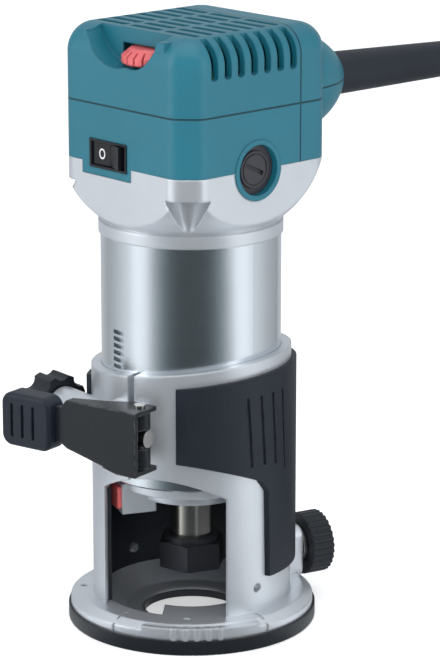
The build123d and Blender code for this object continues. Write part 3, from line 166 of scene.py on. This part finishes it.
def surface(name, colour, metallic=0.0, roughness=0.45, grain=(2600, 0.05), mottle=0.06, spread=0.1,
            edge=0.0, edge_colour=(0.8, 0.8, 0.8), bevel=0.0003, specular=0.5, brushed=None, groove=None):
    """A procedural material: mottled colour, grain in the bump, uneven gloss, rounded and worn edges.

    grain is (scale, height in mm). brushed is (scale, stretch, tint's share, gloss's share, height's share).
    """
    material = bpy.data.materials.new(name)
    material.use_nodes = True
    tree = material.node_tree
    shader = tree.nodes["Principled BSDF"]
    shader.inputs["Metallic"].default_value = metallic
    shader.inputs["Specular IOR Level"].default_value = specular

    cloudy = noise(tree, CLOUD_SCALE, 4.0)
    fine = noise(tree, grain[0], 2.0)
    darker = tuple(c * (1 - mottle) for c in colour)
    lighter = tuple(min(1.0, c * (1 + mottle)) for c in colour)
    tint = mix(tree, ramp(tree, cloudy, 0.3, 0.7), darker, lighter)
    tint = mix(tree, maths(tree, "MULTIPLY", fine, 0.5), tint, darker)

    uneven = maths(tree, "MULTIPLY", noise(tree, GLOSS_SCALE, 3.0), spread)
    gloss = maths(tree, "ADD", uneven, roughness - spread / 2)

    height = fine
    if brushed:
        scale, stretch, tint_share, gloss_share, height_share = brushed
        streaks = noise(tree, scale, 3.0, stretch=stretch)
        tint = mix(tree, maths(tree, "MULTIPLY", streaks, tint_share), tint, darker)
        gloss = maths(tree, "ADD", gloss, maths(tree, "MULTIPLY", streaks, gloss_share))
        height = maths(tree, "ADD", height, maths(tree, "MULTIPLY", streaks, height_share))

    bump = tree.nodes.new("ShaderNodeBump")
    bump.inputs["Distance"].default_value = grain[1] * MM
    tree.links.new(height, bump.inputs["Height"])
    if bevel:
        rounded = tree.nodes.new("ShaderNodeBevel")
        rounded.samples = 4
        rounded.inputs["Radius"].default_value = bevel
        tree.links.new(rounded.outputs["Normal"], bump.inputs["Normal"])
        if edge:
            tint = mix(tree, edge_wear(tree, rounded, edge), tint, edge_colour)
    normal = bump.outputs["Normal"]
    if groove:
        mask = groove(tree)
        tint = mix(tree, maths(tree, "MULTIPLY", mask, 0.75), tint, tuple(c * GROOVE_DARK for c in colour))
        cut = tree.nodes.new("ShaderNodeBump")
        cut.invert = True
        cut.inputs["Distance"].default_value = GROOVE_DEEP
        tree.links.new(mask, cut.inputs["Height"])
        tree.links.new(normal, cut.inputs["Normal"])
        normal = cut.outputs["Normal"]
    tree.links.new(tint, shader.inputs["Base Color"])
    tree.links.new(gloss, shader.inputs["Roughness"])
    tree.links.new(normal, shader.inputs["Normal"])
    return material


# ---------------------------------------------------------------- materials of the CAD nodes

TEAL = linear(24, 104, 122)
SILVER = (0.64, 0.67, 0.71)
STEEL = (0.56, 0.55, 0.53)
TEAL_EDGE = tuple(min(1, c * 1.5 + 0.02) for c in TEAL)
SEAM_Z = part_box("upper_cover")[0].z
REAR_SEAM_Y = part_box("rear_upper_cover")[0].y
MID_SEAM_REACH = 0.34 * MM
REAR_SEAM_REACH = 0.30 * MM


def cover_seams(tree):
    """Fine gaps where the four covers of the head meet."""
    place = tree.nodes.new("ShaderNodeTexCoord")
    split = tree.nodes.new("ShaderNodeSeparateXYZ")
    tree.links.new(place.outputs["Object"], split.inputs[0])
    level = maths(tree, "SUBTRACT", split.outputs["Z"], SEAM_Z)
    across = maths(tree, "SUBTRACT", split.outputs["Y"], REAR_SEAM_Y)
    return lines(tree, [(level, MID_SEAM_REACH), (across, REAR_SEAM_REACH)])


teal = surface("teal_plastic", TEAL, roughness=0.40, grain=(3200, 0.05), mottle=0.05, edge=0.25,
               edge_colour=TEAL_EDGE, bevel=0.0009, groove=cover_seams)
cast = surface("cast_alloy", SILVER, metallic=0.68, roughness=0.34, grain=(1500, 0.06), mottle=0.03,
               spread=0.12, edge=0.3, edge_colour=(0.85, 0.87, 0.9), bevel=0.0012)
barrel = surface("polished_alloy", (0.80, 0.85, 0.89), metallic=1.0, roughness=0.17, grain=(900, 0.01),
                 mottle=0.02, spread=0.04, bevel=0.0002,
                 brushed=(55, (1, 1, 40), 0.15, 0.06, 0.25))
steel = surface("screw_steel", STEEL, metallic=1.0, roughness=0.28, grain=(2200, 0.02), mottle=0.05,
                edge=0.3, bevel=0.0003)
spindle = surface("spindle_steel", (0.66, 0.62, 0.55), metallic=1.0, roughness=0.2, grain=(1200, 0.01),
                  mottle=0.05, bevel=0.0003, brushed=(40, (1, 1, 60), 0.2, 0.08, 0.3))
dark_steel = surface("dark_steel", (0.07, 0.072, 0.078), metallic=0.9, roughness=0.35, grain=(1800, 0.03),
                     mottle=0.1, edge=0.35, edge_colour=(0.4, 0.4, 0.4), bevel=0.0003)
black_steel = surface("black_steel", (0.055, 0.057, 0.066), metallic=0.75, roughness=0.42,
                      grain=(1500, 0.04), mottle=0.12, edge=0.3, edge_colour=(0.3, 0.3, 0.3), bevel=0.0004)
black = surface("black_plastic", linear(26, 30, 36), roughness=0.42, grain=(2400, 0.10), mottle=0.12,
                edge=0.2, edge_colour=(0.12, 0.125, 0.13), bevel=0.0006, specular=0.35)
rubber = surface("black_rubber", linear(29, 35, 44), roughness=0.5, grain=(1900, 0.12), mottle=0.10,
                 edge=0.15, edge_colour=(0.1, 0.105, 0.11), bevel=0.0008, specular=0.3)
lead = surface("lead_rubber", linear(30, 32, 34), roughness=0.45, grain=(2400, 0.04), mottle=0.1, bevel=0)
lever = surface("lever_steel", (0.012, 0.014, 0.017), metallic=0.0, roughness=0.26, grain=(1500, 0.02),
                mottle=0.08, edge=0.35, edge_colour=(0.3, 0.31, 0.32), bevel=0.0009, specular=0.25)
pad = surface("lever_plastic", linear(24, 31, 42), roughness=0.42, grain=(2400, 0.08), mottle=0.1,
              edge=0.2, edge_colour=(0.12, 0.13, 0.15), bevel=0.0008, specular=0.3)
red = surface("red_plastic", linear(212, 96, 98), roughness=0.42, grain=(2600, 0.05), mottle=0.06,
              edge=0.2, edge_colour=(0.95, 0.45, 0.4), bevel=0.0004)
cap = surface("cap_plastic", linear(50, 50, 56), roughness=0.45, grain=(2400, 0.08), mottle=0.1,
              edge=0.3, edge_colour=(0.2, 0.2, 0.2), bevel=0.0004)
rocker = surface("rocker_plastic", linear(16, 17, 21), roughness=0.22, grain=(2600, 0.03), mottle=0.06,
                 bevel=0.0005)
iron = surface("core_steel", (0.2, 0.2, 0.21), metallic=0.8, roughness=0.5, grain=(900, 0.05),
               mottle=0.15, brushed=(900, (1, 1, 1), 0.3, 0.1, 0.4))
copper = surface("copper", (0.72, 0.33, 0.18), metallic=1.0, roughness=0.3, grain=(1200, 0.03), mottle=0.1)
wire = surface("copper_wire", (0.5, 0.18, 0.07), metallic=0.7, roughness=0.35, grain=(900, 0.2),
               mottle=0.2, brushed=(700, (1, 1, 0.1), 0.4, 0.1, 1.0))
nylon = surface("fan_plastic", linear(215, 210, 198), roughness=0.45, grain=(2000, 0.05), mottle=0.04)
carbon = surface("carbon", (0.03, 0.03, 0.032), metallic=0.2, roughness=0.6, grain=(2500, 0.1))
spring = surface("spring_steel", (0.5, 0.5, 0.5), metallic=1.0, roughness=0.3, grain=(1500, 0.02))
board = surface("board_green", (0.03, 0.16, 0.06), roughness=0.35, grain=(900, 0.05), mottle=0.2)
nickel = surface("pin_chrome", (0.75, 0.74, 0.72), metallic=1.0, roughness=0.14, grain=(1500, 0.01))

BY_SLOT = {
    "black_plastic": black, "black_rubber": rubber, "lead_rubber": lead, "cast_alloy": cast,
    "polished_alloy": barrel, "screw_steel": steel, "dark_steel": dark_steel, "black_steel": black_steel,
    "spindle_steel": spindle, "core_steel": iron, "lever_steel": lever, "lever_plastic": pad,
    "spring_steel": spring, "copper": copper, "copper_wire": wire,
    "carbon": carbon, "fan_plastic": nylon, "teal_plastic": teal, "cap_plastic": cap,
    "rocker_plastic": rocker, "red_plastic": red, "board_green": board, "pin_chrome": nickel,
}
SLOT_OF = {row["node"]: row["material_slot"] for row in frame["record"]["subparts"]}
for name, thing in nodes.items():
    thing.data.materials.clear()
    thing.data.materials.append(BY_SLOT[SLOT_OF[name]])

# ---------------------------------------------------------------- the mark on the switch

MARK_R = 1.9 * MM
MARK_THICK = 0.55 * MM
MARK_HIGH = 0.06 * MM
MARK_ACROSS = 0.8
RING_POINTS = 36
IN_FRONT_Y = -60 * MM


def ring_on(name, thing, x, z, material):
    """An oval ring raised a little from the front face of a CAD node, square to that face at (x, z)."""
    _, place, normal, _ = thing.ray_cast(Vector((x, IN_FRONT_Y, z)), Vector((0, 1, 0)))
    side = Vector((0, 0, 1)).cross(normal).normalized()
    up = normal.cross(side)
    inside = MARK_R - MARK_THICK
    profile = [(inside, -MARK_HIGH), (inside, MARK_HIGH * 0.6), (MARK_R - MARK_THICK * 0.7, MARK_HIGH),
               (MARK_R - MARK_THICK * 0.3, MARK_HIGH), (MARK_R, MARK_HIGH * 0.6), (MARK_R, -MARK_HIGH)]
    mesh = bmesh.new()
    loops = []
    for reach, lift in profile:
        loop = []
        for k in range(RING_POINTS):
            angle = 2 * pi * k / RING_POINTS
            outward = side * (MARK_ACROSS * reach * cos(angle)) + up * (reach * sin(angle))
            loop.append(mesh.verts.new(place + outward + normal * lift))
        loops.append(loop)
    for first, second in zip(loops, loops[1:]):
        for k in range(RING_POINTS):
            after = (k + 1) % RING_POINTS
            mesh.faces.new((first[k], first[after], second[after], second[k]))
    bmesh.ops.recalc_face_normals(mesh, faces=mesh.faces)
    data = bpy.data.meshes.new(name)
    mesh.to_mesh(data)
    mesh.free()
    made = bpy.data.objects.new(name, data)
    bpy.context.scene.collection.objects.link(made)
    data.materials.append(material)
    return made


mark_white = surface("mark_white", linear(228, 230, 230), roughness=0.4, grain=(2600, 0.02), mottle=0.03,
                     bevel=0)
rocker_low, rocker_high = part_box("switch_rocker")
mark_x = rocker_low.x + 0.27 * (rocker_high.x - rocker_low.x)
mark_z = (rocker_low.z + rocker_high.z) / 2
off_mark = ring_on("off_mark", nodes["switch_rocker"], mark_x, mark_z, mark_white)
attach(off_mark, "rocker")

# ---------------------------------------------------------------- mains lead, coil and plug

LEAD_D = 0.0075
COIL_X, COIL_Y, COIL_R = 0.053, 0.163, 0.043
GUARD_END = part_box("cord_guard")[1].y

# The height of the lead's middle on the floor, and the step from turn to turn and from layer to layer
FLOOR_Z = 0.0038
PITCH = 0.00755
TURNS = 7.93
TURN_POINTS = 16

plug_low, plug_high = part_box("plug_body")
PLUG_AXIS_Z = (plug_low.z + plug_high.z) / 2
PLUG_TAIL = (plug_low.x, (plug_low.y + plug_high.y) / 2, PLUG_AXIS_Z)
PLUG_LAYER = (PLUG_AXIS_Z - FLOOR_Z) / PITCH

# From the guard's tip, down behind the base, to the floor beside the coil
LEAD_ROUTE = [
    (0, GUARD_END + 0.00022, 0.1924), (0.0003, 0.156, 0.1914), (0.0002, 0.178, 0.1845),
    (-0.0006, 0.197, 0.1685), (-0.0016, 0.208, 0.145), (-0.0024, 0.2126, 0.118),
    (-0.003, 0.2142, 0.091), (-0.0033, 0.2146, 0.065), (-0.003, 0.2145, 0.0399),
    (0.0038, 0.2142, 0.0233), (0.0165, 0.2139, 0.0107), (0.033, 0.2136, FLOOR_Z),
]


def stepped(turn, stages):
    """A value that holds and changes smoothly, where a stage is (from turn, to turn, new value)."""
    value = stages[0]
    for start, end, target in stages[1:]:
        if turn <= start:
            return value
        share = min(1.0, (turn - start) / (end - start))
        value = value + (target - value) * share * share * (3 - 2 * share)
    return value


def coil_points():
    """Three layers of turns, wound clockwise: inwards, outwards, inwards, then across to the plug on top."""
    inner, middle, outer = COIL_R - PITCH, COIL_R, COIL_R + PITCH
    radius = [outer, (0.5, 1.0, middle), (1.5, 2.0, inner), (3.0, 3.5, middle), (4.0, 4.5, outer),
              (5.5, 6.0, middle), (6.5, 7.0, inner), (7.3, 7.9, middle)]
    layer = [0, (2.45, 2.8, 1), (4.95, 5.3, 2), (7.2, 7.6, 3), (7.55, 7.92, PLUG_LAYER)]
    points = []
    for k in range(int(TURNS * TURN_POINTS) + 1):
        turn = k / TURN_POINTS
        r = stepped(turn, radius) / cos(pi / TURN_POINTS)
        angle = pi / 2 - 2 * pi * turn
        z = FLOOR_Z + PITCH * stepped(turn, layer)
        points.append((COIL_X + r * cos(angle), COIL_Y + r * sin(angle), z))
    return points


def nurbs(name, points, diameter, material):
    """A round lead along a smooth NURBS line through the middle of its control points."""
    data = bpy.data.curves.new(name, "CURVE")
    data.dimensions = "3D"
    data.bevel_depth = diameter / 2
    data.bevel_resolution = 5
    data.resolution_u = 6
    data.use_fill_caps = True
    spline = data.splines.new("NURBS")
    spline.points.add(len(points) - 1)
    for place, point in zip(spline.points, points):
        place.co = (*point, 1)
    spline.order_u = 3
    spline.use_endpoint_u = True
    made = bpy.data.objects.new(name, data)
    bpy.context.scene.collection.objects.link(made)
    data.materials.append(material)
    return made


mains_lead = nurbs("mains_lead", LEAD_ROUTE + coil_points() + [PLUG_TAIL], LEAD_D, lead)
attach(mains_lead, "base")
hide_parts("cord", "cord_coil")

# ---------------------------------------------------------------- floor

FLOOR_GLOW = 0.42

pale = surface("pale_floor", (0.86, 0.86, 0.86), roughness=0.6, grain=(300, 0.01), mottle=0.01, bevel=0)
pale_shader = pale.node_tree.nodes["Principled BSDF"]
pale_shader.inputs["Emission Color"].default_value = (1, 1, 1, 1)
pale_shader.inputs["Emission Strength"].default_value = FLOOR_GLOW

bpy.ops.mesh.primitive_plane_add(size=14, location=(0, 0, 0))
floor = bpy.context.object
floor.name = "floor"
floor.data.materials.append(pale)

# ---------------------------------------------------------------- studio walls and light

# The walls' brightness by direction: (0 behind the object to 1 on the viewing side, brightness)
SURROUND = [(0.0, 0.62), (0.18, 0.40), (0.33, 0.50), (0.55, 0.74), (0.66, 1.05), (0.76, 0.95),
            (0.83, 0.50), (0.89, 0.25), (0.94, 0.12), (0.98, 0.07), (1.0, 0.065)]
DARK_BELOW = 0.3
CEILING = (0.72, 0.75, 0.78)
CARD_HIGH = 0.4 * MM
LIGHTS_AIM = Vector((0, 0, 0.12))


def sum_of_products(tree, a, b, c, d):
    """a times b, plus c times d; each is a socket or a number."""
    return maths(tree, "ADD", maths(tree, "MULTIPLY", a, b), maths(tree, "MULTIPLY", c, d))


def wall_colour(value):
    """A wall's colour at one brightness, cooler where it is dark."""
    cool = 0.18 if value < DARK_BELOW else 0.06
    return (value * (1 - cool), value * 0.98, value * (1 + cool / 3), 1)


def around(tree, vector):
    """The walls' colour by direction, dark on the viewing side and bright beside it, and the height."""
    split = tree.nodes.new("ShaderNodeSeparateXYZ")
    tree.links.new(vector, split.inputs[0])
    x, y, z = split.outputs
    forward = sum_of_products(tree, x, sin(VIEW_AZ), y, -cos(VIEW_AZ))
    flat = maths(tree, "SQRT", sum_of_products(tree, x, x, y, y))
    share = maths(tree, "DIVIDE", forward, maths(tree, "MAXIMUM", flat, 0.0001))
    levels = tree.nodes.new("ShaderNodeValToRGB")
    while len(levels.color_ramp.elements) < len(SURROUND):
        levels.color_ramp.elements.new(0.5)
    for element, (place, value) in zip(levels.color_ramp.elements, SURROUND):
        element.position = place
        element.color = wall_colour(value)
    tree.links.new(maths(tree, "ADD", maths(tree, "MULTIPLY", share, 0.5), 0.5), levels.inputs[0])
    return levels.outputs[0], z


def studio_world():
    """Walls by direction, under a pale ceiling."""
    world = bpy.data.worlds.new("studio")
    bpy.context.scene.world = world
    world.use_nodes = True
    tree = world.node_tree
    walls, height = around(tree, tree.nodes.new("ShaderNodeTexCoord").outputs["Generated"])
    colour = mix(tree, ramp(tree, height, 0.3, 0.75), walls, CEILING)
    tree.links.new(colour, tree.nodes["Background"].inputs["Color"])


def reflection_card():
    """A card on the floor that only reflections see, so that upright metal mirrors the walls' bands."""
    material = bpy.data.materials.new("card")
    material.use_nodes = True
    tree = material.node_tree
    glow = tree.nodes.new("ShaderNodeEmission")
    walls, _ = around(tree, tree.nodes.new("ShaderNodeTexCoord").outputs["Object"])
    tree.links.new(walls, glow.inputs["Color"])
    tree.links.new(glow.outputs[0], tree.nodes["Material Output"].inputs["Surface"])
    bpy.ops.mesh.primitive_plane_add(size=4, location=(0, 0, CARD_HIGH))
    card = bpy.context.object
    card.name = "reflection_card"
    card.data.materials.append(material)
    card.visible_camera = False
    card.visible_diffuse = False
    card.visible_shadow = False


def softbox(name, azimuth, elevation, away, size, watts):
    """A rectangular area light aimed at the middle of the object."""
    data = bpy.data.lights.new(name, "AREA")
    data.shape = "RECTANGLE"
    data.size, data.size_y = size
    data.energy = watts
    lamp = bpy.data.objects.new(name, data)
    a, e = radians(azimuth), radians(elevation)
    back = Vector((sin(a) * cos(e), -cos(a) * cos(e), sin(e)))
    lamp.location = LIGHTS_AIM + back * away
    lamp.rotation_euler = back.to_track_quat("Z", "Y").to_euler()
    bpy.context.scene.collection.objects.link(lamp)
    return lamp


studio_world()
reflection_card()
softbox("top", 30, 78, 1.3, (1.4, 1.4), 6)
softbox("left", -25, 22, 1.2, (0.5, 1.1), 3.6)
softbox("right", 100, 18, 1.2, (0.35, 1.1), 2)
fill = softbox("front", 50, 16, 0.9, (0.3, 0.3), 2.6)
fill.visible_glossy = False
bpy.context.scene.view_settings.view_transform = "Standard"
